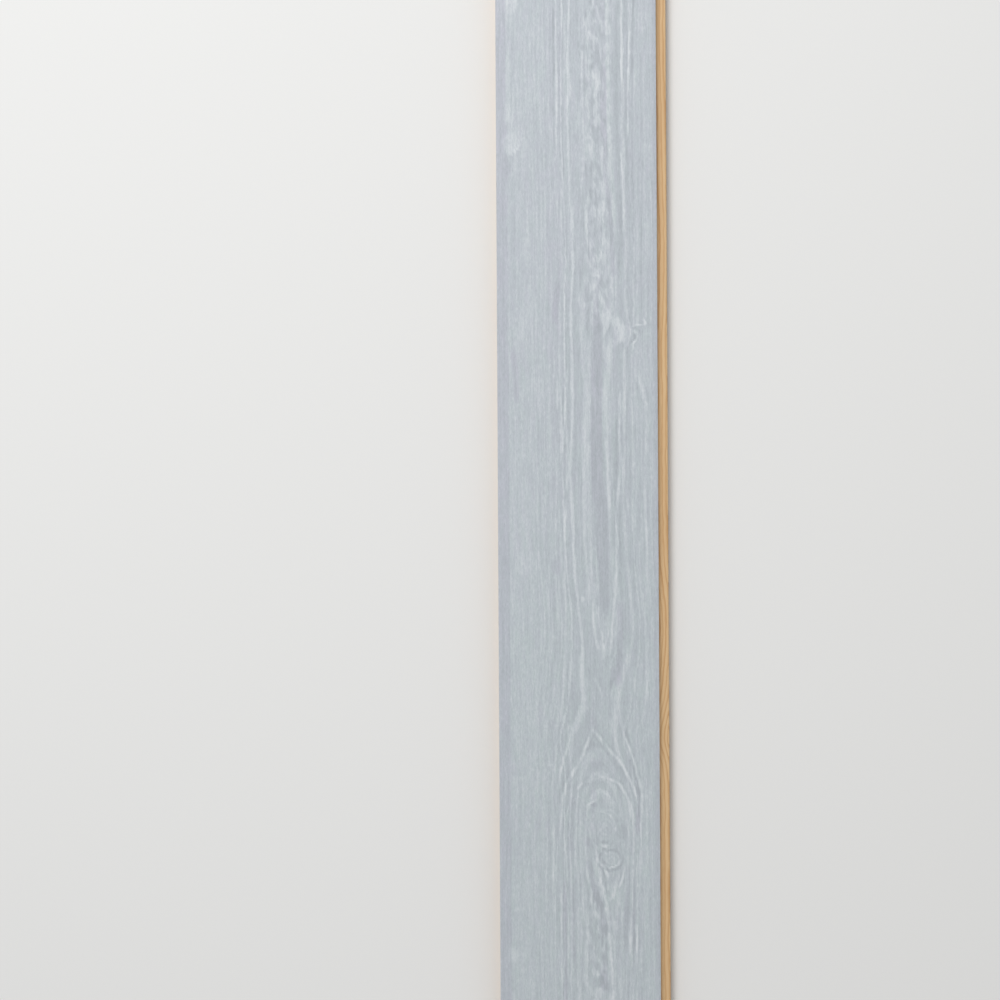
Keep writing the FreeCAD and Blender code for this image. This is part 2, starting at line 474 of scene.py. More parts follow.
# Each pale ridge gets a darker flank on both sides: partly paint in the low groove there, partly painted
# shade beside the ridge
SHADED_FLANK_SHARE = 0.45
SHADED_FLANK_REACH = 0.6
BLOTCH_INNER, BLOTCH_OUTER = 0.75, 1.1
BLOTCH_RAGGEDNESS = 0.2
DRAWN_RELIEF = 0.12


def stirred_stretches(bench, y):
    """1 where islands break the figure's middle, past both ends of the calm stretch, and 0 in it."""
    upper = bench.step(UPPER_STIR_FROM, UPPER_STIR_TO, y)
    return upper + 1.0 - bench.step(LOWER_STIR_FROM, LOWER_STIR_TO, y)


def plain_side(bench, x):
    """1 on the plain side by the groove, and 0 on the rest of the face."""
    return 1.0 - bench.step(PLAIN_FROM, PLAIN_ENDS, x)


def growth_ring(bench, place):
    """Which year's ring a point is in: it climbs by 1 with each ring, out from the pith."""
    x, y, z = bench.parts(place)
    pith_x = PITH_ACROSS
    for bend in BENDS:
        pith_x = pith_x + bench.bell((y - bend.y) / bend.reach) * bend.shift
    above_pith = z + (PITH_DEPTH - FACE_HEIGHT)
    across = x - pith_x + bench.noise(place, WAVER) * WAVER_MM
    radius = bench.root(across * across + above_pith * above_pith)
    ring = (radius - PITH_DEPTH) / RING_WIDTH + CENTRE_RING
    spread = across * PITH_DEPTH / above_pith
    climb = 0.0
    for part in CLIMBS:
        climb = climb + (1.0 - bench.step(part.y - part.reach, part.y + part.reach, y)) * part.rings
    ring = ring + climb * bench.bell(spread / MIDDLE_REACH)
    for knot in KNOTS:
        above = bench.most(y - knot.y, 0.0) / knot.above
        below = bench.least(y - knot.y, 0.0) / knot.below
        side = (spread + pith_x - knot.x) / knot.across
        away = side * side + above * above + below * below
        ring = ring - bench.fading(away * away * KNOT_FLATNESS) * knot.rings
    stir = bench.bell(spread / HEART_REACH) * stirred_stretches(bench, y) * STIRRED_RINGS + CALM_RINGS
    ring = ring + bench.noise(place, ISLANDS) * stir + bench.noise(place, SWAY) * SWAY_RINGS
    return ring + bench.along(ring, RING_CLUSTER, RING_CLUSTER_START)


def cut_branches(bench, place):
    """Each knot's own wood: how far a point is inside it, its rim, and the swing of its rings."""
    x, y, z = bench.parts(place)
    spread_x = (x - PITH_ACROSS) * PITH_DEPTH / (z + (PITH_DEPTH - FACE_HEIGHT)) + PITH_ACROSS
    warp = bench.noise(place, BRANCH_WARP) * BRANCH_WARP_MM
    found = []
    for branch in BRANCHES:
        side = (spread_x - branch.x + warp) / branch.half_width
        rise = (y - branch.y - warp) / branch.half_height
        out = bench.root(side * side + rise * rise)
        inside = 1.0 - bench.step(1.0 - BRANCH_RIM, 1.0, out)
        rim = bench.bell((out - 1.0) / BRANCH_RIM)
        swing = bench.cosine(out * (branch.half_width / branch.ring_gap * math.tau))
        found.append((branch, inside, rim, swing))
    return found


def soft_step(low, high, values):
    """From 0 at low to 1 at high, eased at both."""
    share = np.clip((values - low) / (high - low), 0, 1)
    return share * share * (3 - 2 * share)


def smooth_curve(y, places):
    """A smooth curve's x at each y, through places given as x and y from top to bottom."""
    x_at, y_at = np.array(places[::-1], dtype=float).T
    slopes = np.gradient(x_at, y_at)
    y = np.clip(y, y_at[0], y_at[-1])
    piece = np.clip(np.searchsorted(y_at, y, side="right") - 1, 0, len(y_at) - 2)
    run = y_at[piece + 1] - y_at[piece]
    share = (y - y_at[piece]) / run
    eased = soft_step(0, 1, share)
    leaving = run * slopes[piece] * share * (1 - share) ** 2
    arriving = run * slopes[piece + 1] * share ** 2 * (1 - share)
    return x_at[piece] * (1 - eased) + x_at[piece + 1] * eased + leaving - arriving


def drawn_line(x, y, line):
    """How far places are past a line's half width in mm, that half width, and if they lie along it."""
    top, bottom = line.places[0][1], line.places[-1][1]
    before = smooth_curve(y - SLOPE_STEP, line.places)
    after = smooth_curve(y + SLOPE_STEP, line.places)
    slant = np.hypot((after - before) / (2 * SLOPE_STEP), 1)
    share = np.clip((top - y) / (top - bottom), 0, 1)
    widening = (line.lower_half_width or line.half_width) - line.half_width
    half = (line.half_width + widening * share) * slant
    soft = min(LINE_END, (top - bottom) / 4)
    along = soft_step(top + soft, top - soft, y) * soft_step(bottom - soft, bottom + soft, y)
    return np.abs(x - smooth_curve(y, line.places)) - half, half, along


def drawn_figure(x, y, ragged, worn):
    """The tone and the hue that the single ridges, bands and blotches leave at places on the face, painted
    highlight and painted shade among them.
    """
    tone = np.zeros(len(x))
    hue = np.zeros(len(x))
    x_ragged = x + ragged * RAGGED_LINE_MM
    for line in BANDS:
        past, half, along = drawn_line(x_ragged, y, line)
        inside = (1 - soft_step(-BAND_EDGE, BAND_EDGE, past)) * along
        tone += inside * line.tone
        hue += inside * line.hue
    for line in RIDGES:
        past, half, along = drawn_line(x_ragged, y, line)
        profile = np.exp(-((past + half) / half) ** 2)
        # the darker flanks beside a pale ridge are partly painted shade
        if line.tone > 0:
            profile -= np.exp(-((past - half) / (half * SHADED_FLANK_REACH)) ** 2) * SHADED_FLANK_SHARE
        tone += profile * along * line.tone * (1 + worn * WORN_SWING)
    for blotch in BLOTCHES:
        out = np.hypot((x - blotch.x) / blotch.half_width, (y - blotch.y) / blotch.half_height)
        inside = 1 - soft_step(BLOTCH_INNER, BLOTCH_OUTER, out + ragged * BLOTCH_RAGGEDNESS)
        tone += inside * blotch.tone
        hue += inside * blotch.hue
    return tone, hue


def brushed_figure(bench, place, ring, drawn_tone, drawn_hue):
    """The paint's broad tone and hue, with painted highlight on the ridges and painted shade in the
    furrows, and the broad relief that brushing leaves.
    """
    x, y, _ = bench.parts(place)
    year = bench.floor(ring)
    phase = ring - year
    ragged = bench.noise(place, RAGGED)
    begins = bench.chance(year + LIGHT_DRAW) * LIGHT_SPREAD + LIGHT_FROM
    edge = phase + ragged * RAGGEDNESS - begins
    light = bench.step(0.0, LIGHT_EDGE, edge) * (1.0 - bench.step(LIGHT_ENDS, 1.0, phase))
    strength = bench.chance(year + STRENGTH_DRAW) * (1.0 - FAINTEST_RING) + FAINTEST_RING
    crested = bench.step(CRESTED_FROM, CRESTED_FULL, bench.chance(year + CREST_DRAW))
    # the crest: a raised top on some rings, with a painted highlight along it
    crest = light * bench.step(CREST_FROM, CREST_FULL, phase) * crested
    plain = plain_side(bench, x)
    bold = (1.0 - plain * PLAIN_RING_SHARE) * strength
    # paler on the ridges and deeper in the furrows: partly rubbed and pooled paint, partly painted
    # highlight and painted shade
    tone = bold * (light * (RUBBED_AND_LIT_TONE + POOLED_AND_SHADED_TONE) - POOLED_AND_SHADED_TONE + crest * CREST_PAINTED_HIGHLIGHT)
    tone = tone + bench.along(ring, SPELL_RINGS, SPELL_START) * SPELL_TONE * (1.0 - plain)
    tone = tone + bench.noise(place, PATCHES) * PATCH_TONE
    stirred = bench.bell((x - HEART_X) / HEART_HALF) * stirred_stretches(bench, y)
    shore = bench.noise(place, ISLETS) + ragged * ISLET_RAGGEDNESS
    tone = tone + stirred * (bench.step(-ISLET_EDGE, ISLET_EDGE, shore) - 0.5) * ISLET_TONE
    relief = bold * (light + crest * CREST_RELIEF - RING_RELIEF_LEVEL)
    for branch, inside, rim, swing in cut_branches(bench, place):
        own = swing * branch.ring_tone + branch.tone
        tone = tone * (1.0 - inside * BRANCH_COVER) + inside * own - rim * branch.rim_tone
        level = swing * BRANCH_RING_RELIEF + BRANCH_LEVEL
        relief = relief * (1.0 - inside) + inside * level - rim * BRANCH_RIM_DROP
    hue = bench.noise(place, HUES) * HUE_SWING + drawn_hue
    return tone + drawn_tone, hue, relief + drawn_tone * DRAWN_RELIEF


def fibres(bench, place):
    """The fine, streaky unevenness of brushed fibres, as a tone and as a relief."""
    x, _, _ = bench.parts(place)
    streak = bench.noise(place, STREAKS)
    fibre = bench.noise(place, FIBRES)
    tone = streak * (1.0 - plain_side(bench, x) * PLAIN_STREAK_SHARE) * STREAK_TONE
    tone = tone + fibre * FIBRE_TONE + bench.noise(place, MOTTLE) * MOTTLE_TONE
    return tone, streak * STREAK_HEIGHT + fibre


# The numbers of the sockets that carry colours in a mix node, and whole numbers in a compare node
MIX_A, MIX_B, MIX_RESULT = 6, 7, 2
COMPARE_A, COMPARE_B = 2, 3


class Term:
    """A value on its way through a node tree, so that a formula can be written as a formula."""

    def __init__(self, bench, socket):
        self.bench = bench
        self.socket = socket

    def before(self, operation, other):
        return self.bench.math(operation, self, other)

    def after(self, operation, other):
        return self.bench.math(operation, other, self)

    __add__ = partialmethod(before, "ADD")
    __radd__ = partialmethod(after, "ADD")
    __sub__ = partialmethod(before, "SUBTRACT")
    __rsub__ = partialmethod(after, "SUBTRACT")
    __mul__ = partialmethod(before, "MULTIPLY")
    __rmul__ = partialmethod(after, "MULTIPLY")
    __truediv__ = partialmethod(before, "DIVIDE")


def socket_name(name):
    """The name on a socket, from a name in the script."""
    return name.replace("_", " ").title()


class Bench:
    """Lays out the nodes of formulas, in a shader tree or a geometry tree alike."""

    column_width = 190
    row_height = 170

    def __init__(self, tree):
        self.tree = tree
        self.columns = {}
        self.rows = {}

    def node(self, kind, inputs, **settings):
        """A new node, its settings made and its inputs filled or wired, one column past what it reads."""
        made = self.tree.nodes.new(kind)
        for name, value in settings.items():
            setattr(made, name, value)
        column = 0
        for key, value in inputs.items():
            if isinstance(value, Term):
                self.tree.links.new(value.socket, made.inputs[key])
                column = max(column, self.columns.get(value.socket.node.name, 0) + 1)
            else:
                made.inputs[key].default_value = value
        row = self.rows.get(column, 0)
        self.rows[column] = row + 1
        self.columns[made.name] = column
        made.location = (column * self.column_width, -row * self.row_height)
        return made

    def term(self, kind, inputs, output=0, **settings):
        """A new node's result."""
        return Term(self, self.node(kind, inputs, **settings).outputs[output])

    def math(self, operation, *values):
        return self.term("ShaderNodeMath", dict(enumerate(values)), operation=operation)

    root = partialmethod(math, "SQRT")
    floor = partialmethod(math, "FLOOR")
    cosine = partialmethod(math, "COSINE")
    magnitude = partialmethod(math, "ABSOLUTE")
    most = partialmethod(math, "MAXIMUM")
    least = partialmethod(math, "MINIMUM")

    def fading(self, value):
        """1 at zero, less and less above it."""
        return self.math("EXPONENT", value * -1.0)

    def bell(self, value):
        """1 at zero, fading on both sides of it."""
        return self.fading(value * value)

    def step(self, low, high, value):
        """From 0 at low to 1 at high, eased at both."""
        settings = {"Value": value, "From Min": low, "From Max": high}
        return self.term("ShaderNodeMapRange", settings, interpolation_type="SMOOTHSTEP")

    def parts(self, place):
        """A place's x, y and z."""
        made = self.node("ShaderNodeSeparateXYZ", {0: place})
        return [Term(self, socket) for socket in made.outputs]

    def vector(self, x=0.0, y=0.0, z=0.0):
        return self.term("ShaderNodeCombineXYZ", {0: x, 1: y, 2: z})

    def in_mm(self, place):
        return self.term("ShaderNodeVectorMath", {0: place, "Scale": 1 / MM}, operation="SCALE")

    def noise(self, place, grain):
        """Smooth noise about zero, stretched as the grain says."""
        stretch = (1 / grain.across, 1 / grain.along, 1 / grain.deep)
        moved = self.term("ShaderNodeVectorMath", {0: place, 1: stretch, 2: (0, 0, grain.start)},
                          operation="MULTIPLY_ADD")
        return self.noise_at(moved, grain.detail, grain.roughness)

    def noise_at(self, vector, detail, roughness):
        settings = {"Vector": vector, "Scale": 1.0, "Detail": detail, "Roughness": roughness}
        return self.term("ShaderNodeTexNoise", settings) - 0.5

    def along(self, value, size, start):
        """Smooth noise about zero that changes with one value only."""
        return self.noise_at(self.vector(value / size, start), detail=0.0, roughness=0.5)

    def chance(self, value):
        """A draw from 0 to 1 that is the same for the same value."""
        return self.term("ShaderNodeTexWhiteNoise", {"W": value}, noise_dimensions="1D")

    def mix(self, factor, a, b):
        """A colour from a to b as the factor goes from 0 to 1."""
        settings = {"Factor": factor, MIX_A: a, MIX_B: b}
        return self.term("ShaderNodeMix", settings, output=MIX_RESULT, data_type="RGBA")

    def stored(self, name, data_type="FLOAT"):
        """What a mesh keeps under a name, in a geometry tree."""
        return self.term("GeometryNodeInputNamedAttribute", {"Name": name}, data_type=data_type)

    def group(self, group, **inputs):
        """A node group put to use here, and its outputs by name."""
        made = self.tree.nodes.new(self.tree.bl_idname.replace("NodeTree", "NodeGroup"))
        made.node_tree = group
        for name, value in inputs.items():
            socket = made.inputs[socket_name(name)]
            if isinstance(value, Term):
                self.tree.links.new(value.socket, socket)
            else:
                socket.default_value = value
        made.location = (self.column_width, self.row_height)
        return {socket.name: Term(self, socket) for socket in made.outputs}


def new_group(kind, name, inputs, outputs):
    """An empty node group with named sockets: the group, its bench, and its inputs by name."""
    group = bpy.data.node_groups.new(name, kind)
    for label, socket_type, default in inputs:
        socket = group.interface.new_socket(label, in_out="INPUT", socket_type=socket_type)
        if default is not None:
            socket.default_value = default
    for label, socket_type in outputs:
        group.interface.new_socket(label, in_out="OUTPUT", socket_type=socket_type)
    bench = Bench(group)
    given = bench.node("NodeGroupInput", {})
    return group, bench, {socket.name: Term(bench, socket) for socket in given.outputs if socket.name}


def close_group(bench, **outputs):
    """Wires a group's results to its output sockets."""
    bench.node("NodeGroupOutput", {socket_name(name): term for name, term in outputs.items()})


VALUE = "NodeSocketFloat"
PLACE = "NodeSocketVector"
COLOUR = "NodeSocketColor"
WHITE = (1.0, 1.0, 1.0, 1.0)

# The names under which the mesh keeps what the materials and the brushing read
# The tone holds painted highlights and painted shade as well as the paint's own tone
TONE_AND_PAINTED_LIGHT = "tone_and_painted_light"
PAINT_HUE = "paint_hue"
BRUSHED = "brushed"
SURFACE = "surface"
SKIN, BODY, END = 0, 1, 2


def make_ring_group(kind):
    """The growth rings as a node group, for a shader tree or a geometry tree."""
    group, bench, given = new_group(
        kind, f"growth rings {kind}", [("Place", PLACE, None)], [("Ring", VALUE)])
    close_group(bench, ring=growth_ring(bench, bench.in_mm(given["Place"])))
    return group


def make_figure_group(rings):
    """The brushed figure as a geometry node group, which reads the rings and what is drawn on the face."""
    group, bench, given = new_group(
        "GeometryNodeTree", "brushed figure", [("Place", PLACE, None)],
        [("Tone", VALUE), ("Hue", VALUE), ("Relief", VALUE)])
    ring = bench.group(rings, place=given["Place"])["Ring"]
    tone, hue, relief = brushed_figure(
        bench, bench.in_mm(given["Place"]), ring, bench.stored(TONE_AND_PAINTED_LIGHT), bench.stored(PAINT_HUE))
    close_group(bench, tone=tone, hue=hue, relief=relief)
    return group


def make_fibre_group():
    """The brushed fibres as a shader node group."""
    group, bench, given = new_group(
        "ShaderNodeTree", "brushed fibres", [("Place", PLACE, None)],
        [("Tone", VALUE), ("Height", VALUE)])
    tone, height = fibres(bench, bench.in_mm(given["Place"]))
    close_group(bench, tone=tone, height=height)
    return group


PINE_LATE_STARTS, PINE_LATE_FULL = 0.35, 0.92
PINE_FAINTEST_RING = 0.5
PINE_LATE_HEIGHT = 0.5
PINE_STREAKS = Grain(across=1.4, along=30.0, deep=1.4, start=3.1, detail=4.0, roughness=0.7)
PINE_STREAK_SHARE = 0.5
PINE_PATCHES = Grain(across=25.0, along=160.0, deep=25.0, start=5.5, detail=2.0)
PINE_PATCH_SHARE = 0.6
PINE_LEAST_LATE = 0.12
KNOT_COVER = 0.85
KNOT_RING_SHARE = 0.3
KNOT_RIM_COVER = 0.8
KNOT_RIM_DROP = 0.4
KNOT_BROWN = (0.155, 0.068, 0.028, 1.0)
KNOT_HEART = (0.30, 0.145, 0.06, 1.0)


def make_pine_group(rings):
    """Bare pine sawn from the same tree: its colour, and how proud its late wood stands."""
    group, bench, given = new_group(
        "ShaderNodeTree", "bare pine",
        [("Place", PLACE, None), ("Early Wood", COLOUR, WHITE), ("Late Wood", COLOUR, WHITE),
         ("Contrast", VALUE, 1.0)],
        [("Colour", COLOUR), ("Height", VALUE)])
    place = bench.in_mm(given["Place"])
    ring = bench.group(rings, place=given["Place"])["Ring"]
    year = bench.floor(ring)
    phase = ring - year
    strength = bench.chance(year) * (1.0 - PINE_FAINTEST_RING) + PINE_FAINTEST_RING
    late = bench.step(PINE_LATE_STARTS, PINE_LATE_FULL, phase)
    late = late * (1.0 - bench.step(PINE_LATE_FULL, 1.0, phase)) * strength
    streak = bench.noise(place, PINE_STREAKS)
    depth = late * given["Contrast"] + streak * PINE_STREAK_SHARE
    depth = depth + bench.noise(place, PINE_PATCHES) * PINE_PATCH_SHARE + PINE_LEAST_LATE
    colour = bench.mix(depth, given["Early Wood"], given["Late Wood"])
    height = late * PINE_LATE_HEIGHT + streak
    for _, inside, rim, swing in cut_branches(bench, place):
        colour = bench.mix(inside * KNOT_COVER, colour, KNOT_HEART)
        brown = bench.most(rim, inside * (swing * KNOT_RING_SHARE + KNOT_RING_SHARE))
        colour = bench.mix(brown * KNOT_RIM_COVER, colour, KNOT_BROWN)
        height = height - rim * KNOT_RIM_DROP
    close_group(bench, colour=colour, height=height)
    return group


def colour_of(value):
    """A property's colour with its alpha."""
    return (*value, 1.0)


def new_material(name):
    """A material with only its output to come: the material, its bench, and the place on the object."""
    material = bpy.data.materials.new(name)
    material.use_nodes = True
    material.node_tree.nodes.clear()
    bench = Bench(material.node_tree)
    return material, bench, bench.term("ShaderNodeTexCoord", {}, output="Object")


def finish_material(bench, colour, roughness, sheen, normal):
    """Gives a material its one surface shader and its output."""
    surface = bench.term("ShaderNodeBsdfPrincipled", {
        "Base Color": colour, "Roughness": roughness, "Specular IOR Level": sheen, "Normal": normal})
    bench.node("ShaderNodeOutputMaterial", {"Surface": surface})


def bumped(bench, *layers):
    """Bump nodes one on another: each layer is a height, and how many metres a step of 1 in it stands."""
    below = {}
    for height, distance in layers:
        settings = {"Height": height, "Distance": distance, "Strength": 1.0, **below}
        normal = bench.term("ShaderNodeBump", settings)
        below = {"Normal": normal}
    return normal


FULL_TONE = 6.0
FULL_HUE = 6.0
PAINT_ROUGHNESS = 0.56
PAINT_ROUGHNESS_SWING = 0.12
PAINT_SHEEN = 0.35
FIBRE_HEIGHT = 0.12 * MM


def make_brushed_paint(fibre_group, finish):
    """Thin matt paint on brushed pine, rubbed pale on the ridges and deep in the furrows, with painted
    highlight on the ridges and painted shade in the furrows and along the face's edges.
    """
    material, bench, place = new_material("brushed_paint")
    made = bench.group(fibre_group, place=place)
    broad_tone = bench.term("ShaderNodeAttribute", {}, output="Fac", attribute_name=TONE_AND_PAINTED_LIGHT)
    broad_hue = bench.term("ShaderNodeAttribute", {}, output="Fac", attribute_name=PAINT_HUE)
    tone = (made["Tone"] + broad_tone) / FULL_TONE
    hue = broad_hue / FULL_HUE
    colour = bench.mix(bench.most(hue, 0.0), colour_of(finish.paint), colour_of(finish.greenish))
    colour = bench.mix(bench.most(hue * -1.0, 0.0), colour, colour_of(finish.lavender))
    # paler tones, partly painted highlight, and deeper tones, partly painted shade
    colour = bench.mix(bench.most(tone, 0.0), colour, colour_of(finish.rubbed))
    colour = bench.mix(bench.most(tone * -1.0, 0.0), colour, colour_of(finish.deep))
    roughness = made["Height"] * PAINT_ROUGHNESS_SWING + PAINT_ROUGHNESS
    finish_material(bench, colour, roughness, PAINT_SHEEN, bumped(bench, (made["Height"], FIBRE_HEIGHT)))
    return material


PLANED_CONTRAST = 0.8
PLANER_STEP = 1.7
PLANER_HEIGHT = 0.006 * MM
PINE_HEIGHT = 0.05 * MM
PINE_ROUGHNESS = 0.5
PINE_ROUGHNESS_DROP = 0.1
PINE_SHEEN = 0.4
OVERSPRAY_FULL = 17.3
OVERSPRAY_ENDS = 15.4
OVERSPRAY = Grain(across=2.0, along=5.0, deep=1.2, start=6.1, detail=4.0, roughness=0.7)
OVERSPRAY_MM = 3.0


def make_planed_pine(pine, finish):
    """Planed pine with the cutter's fine ripple, and paint that strayed a little way over the arris."""
    material, bench, place = new_material("planed_pine")
    spot = bench.in_mm(place)
    _, y, z = bench.parts(spot)
    made = bench.group(pine, place=place, early_wood=colour_of(finish.early_wood),
                       late_wood=colour_of(finish.late_wood), contrast=PLANED_CONTRAST)
    strayed = bench.step(OVERSPRAY_ENDS, OVERSPRAY_FULL, z + bench.noise(spot, OVERSPRAY) * OVERSPRAY_MM)
    colour = bench.mix(strayed, made["Colour"], colour_of(finish.paint))
    roughness = made["Height"] * -PINE_ROUGHNESS_DROP + PINE_ROUGHNESS
    ripple = bench.cosine(y * (math.tau / PLANER_STEP))
    normal = bumped(bench, (ripple, PLANER_HEIGHT), (made["Height"], PINE_HEIGHT))
    finish_material(bench, colour, roughness, PINE_SHEEN, normal)
    return material


SAWN_CONTRAST = 1.0
SAW_STEP = 1.1
SAW_SLANT = 0.2
SAW_WANDER = Grain(across=30.0, along=30.0, deep=12.0, start=1.2, detail=2.0)
SAW_WANDER_MM = 6.0
SAW_HEIGHT = 0.03 * MM
SAW_FUZZ = Grain(across=0.35, along=7.0, deep=0.35, start=9.2)
SAW_FUZZ_SWING = 3.0
END_ROUGHNESS = 0.72
END_SHEEN = 0.3


def make_sawn_end(pine, finish):
    """End grain: the rings drawn strongly, with the saw's scratches across them."""
    material, bench, place = new_material("sawn_end")
    spot = bench.in_mm(place)
    x, _, z = bench.parts(spot)
    made = bench.group(pine, place=place, early_wood=colour_of(finish.end_early),
                       late_wood=colour_of(finish.end_late), contrast=SAWN_CONTRAST)
    stroke = z + x * SAW_SLANT + bench.noise(spot, SAW_WANDER) * SAW_WANDER_MM
    scratch = bench.cosine(stroke * (math.tau / SAW_STEP)) + bench.noise(spot, SAW_FUZZ) * SAW_FUZZ_SWING
    normal = bumped(bench, (scratch, SAW_HEIGHT), (made["Height"], PINE_HEIGHT))
    finish_material(bench, made["Colour"], END_ROUGHNESS, END_SHEEN, normal)
    return material


# The section, in mm. It repeats the CAD board's, with the face divided finely enough to be brushed

class Corner(NamedTuple):
    """A corner of the section, with the radius that it is rounded to and the flats of that rounding."""
    x: float
    z: float
    radius: float = 0.0
    flats: int = 4


SKIN_EDGE = 17.4
LARGEST_ROUNDING_SHARE = 0.45
BACK_ARRIS = 1.2
BACK_FLATS = 5

CHANNEL_SIDE_RUN = 1.0
CHANNEL_MARGIN = 17.0
CHANNEL_FLOOR_RADIUS = 0.8

TONGUE_BELOW_MIDDLE = 0.6
TONGUE_TAPER = 0.3
TONGUE_NOSE_RADIUS = 1.4
TONGUE_NOSE_FLATS = 6
TONGUE_ROOT_RADIUS = 0.5

FLANK_CLEARANCE = 0.2
NOSE_CLEARANCE = 1.0
GROOVE_FLOOR_RADIUS = 1.0
UPPER_LIP_RADIUS = 0.5
LOWER_LIP_RADIUS = 1.2
LOWER_LIP_SETBACK = 0.6

# How closely the face is divided: closest in its figured middle and round the knots
COLUMN_STOPS = (-24.0, -44.0)
COLUMN_GAPS = (0.7, 0.9, 1.4)
ROW_STOPS = (-430.0, -345.0, -175.0, 115.0, 170.0, 430.0)
ROW_GAPS = (4.0, 2.4, 1.3, 2.4, 1.3, 2.4, 4.0)
END_ROWS = (0.0, 0.35, 0.9, 1.8)
ROWS_TO_A_BODY_ROW = 24


def round_off(before, corner, after):
    """The points of one corner's rounding, in the order that the section is walked."""
    here = Vector((corner.x, corner.z))
    if not corner.radius:
        return [here]
    back = Vector((before.x, before.z)) - here
    onward = Vector((after.x, after.z)) - here
    half_angle = back.angle(onward) / 2
    shorter_side = min(back.length, onward.length)
    setback = min(corner.radius / math.tan(half_angle), shorter_side * LARGEST_ROUNDING_SHARE)
    radius = setback * math.tan(half_angle)
    back.normalize()
    onward.normalize()
    centre = here + (back + onward).normalized() * (radius / math.sin(half_angle))
    first = here + back * setback - centre
    last = here + onward * setback - centre
    start = math.atan2(first.y, first.x)
    sweep = (math.atan2(last.y, last.x) - start + math.pi) % math.tau - math.pi
    turns = [start + sweep * number / corner.flats for number in range(corner.flats + 1)]
    return [centre + Vector((math.cos(turn), math.sin(turn))) * radius for turn in turns]


def rounded(corners):
    """The points of an open run of corners, whose first and last stay sharp."""
    points = [Vector((corners[0].x, corners[0].z))]
    for before, corner, after in zip(corners, corners[1:], corners[2:]):
        points += round_off(before, corner, after)
    return points + [Vector((corners[-1].x, corners[-1].z))]


def spaced(stops, gaps):
    """Places from the first stop up to the last, but without it, about a gap apart between two stops."""
    places = []
    for start, stop, gap in zip(stops, stops[1:], gaps):
        count = round(abs(stop - start) / gap)
        places += [start + (stop - start) * number / count for number in range(count)]
    return places


def skin_run(sizes):
    """The painted skin, from its edge on the tongue side over the face to its edge on the groove side."""
    top = sizes.thickness / MM
    tongue_top = Corner(TONGUE_EDGE, top, sizes.face_arris / MM)
    groove_top = Corner(GROOVE_EDGE, top, sizes.face_arris / MM)
    tongue_arris = rounded([Corner(TONGUE_EDGE, SKIN_EDGE), tongue_top, groove_top])[:-1]
    groove_arris = rounded([tongue_top, groove_top, Corner(GROOVE_EDGE, SKIN_EDGE)])[1:]
    face = spaced([tongue_arris[-1].x, *COLUMN_STOPS, groove_arris[0].x], COLUMN_GAPS)
    return tongue_arris + [Vector((x, top)) for x in face[1:]] + groove_arris


def channel_corners(sizes):
    """The relief channels along the back, from the groove side to the tongue side."""
    floor_half = sizes.channel_width / MM / 2
    depth = sizes.channel_depth / MM
    mouth_half = floor_half + CHANNEL_SIDE_RUN
    first = GROOVE_EDGE + CHANNEL_MARGIN + mouth_half
    last = TONGUE_EDGE - CHANNEL_MARGIN - mouth_half
    corners = []
    for number in range(sizes.channel_count):
        middle = first + (last - first) * number / max(sizes.channel_count - 1, 1)
        corners += [
            Corner(middle - mouth_half, 0),
            Corner(middle - floor_half, depth, CHANNEL_FLOOR_RADIUS),
            Corner(middle + floor_half, depth, CHANNEL_FLOOR_RADIUS),
            Corner(middle + mouth_half, 0),
        ]
    return corners


def body_run(sizes):
    """The rest of the section: down the groove side, along the back, and up round the tongue."""
    middle = sizes.thickness / MM / 2 - TONGUE_BELOW_MIDDLE
    tip_x = TONGUE_EDGE + sizes.tongue_length / MM
    tip_half = sizes.tongue_thickness / MM / 2
    root_half = tip_half + TONGUE_TAPER
    depth = sizes.tongue_length / MM + NOSE_CLEARANCE
    floor_x = GROOVE_EDGE + depth
    floor_half = tip_half + FLANK_CLEARANCE
    mouth_half = root_half + FLANK_CLEARANCE
    lip_x = GROOVE_EDGE + LOWER_LIP_SETBACK
    lip_half = floor_half + (mouth_half - floor_half) * (floor_x - lip_x) / depth
    return rounded([
        Corner(GROOVE_EDGE, SKIN_EDGE),
        Corner(GROOVE_EDGE, middle + mouth_half, UPPER_LIP_RADIUS),
        Corner(floor_x, middle + floor_half, GROOVE_FLOOR_RADIUS),
        Corner(floor_x, middle - floor_half, GROOVE_FLOOR_RADIUS),
        Corner(lip_x, middle - lip_half, LOWER_LIP_RADIUS, BACK_FLATS),
        Corner(lip_x, 0, BACK_ARRIS, BACK_FLATS),
        *channel_corners(sizes),
        Corner(TONGUE_EDGE, 0, BACK_ARRIS, BACK_FLATS),
        Corner(TONGUE_EDGE, middle - root_half, TONGUE_ROOT_RADIUS),
        Corner(tip_x, middle - tip_half, TONGUE_NOSE_RADIUS, TONGUE_NOSE_FLATS),
        Corner(tip_x, middle + tip_half, TONGUE_NOSE_RADIUS, TONGUE_NOSE_FLATS),
        Corner(TONGUE_EDGE, middle + root_half, TONGUE_ROOT_RADIUS),
        Corner(TONGUE_EDGE, SKIN_EDGE),
    ])[1:-1]


def row_places(end):
    """Where the rows across the board stand along it: close together at the knots and at both ends."""
    places = [-end + place for place in END_ROWS[:-1]]
    places += spaced([-end + END_ROWS[-1], *ROW_STOPS, end - END_ROWS[-1]], ROW_GAPS)
    return places + [end - place for place in reversed(END_ROWS)]


def quads(point_at, columns, row):
    """The faces between one row of points and the next."""
    return [(point_at(i, row), point_at(i, row + 1), point_at(i + 1, row + 1), point_at(i + 1, row))
            for i in range(columns - 1)]


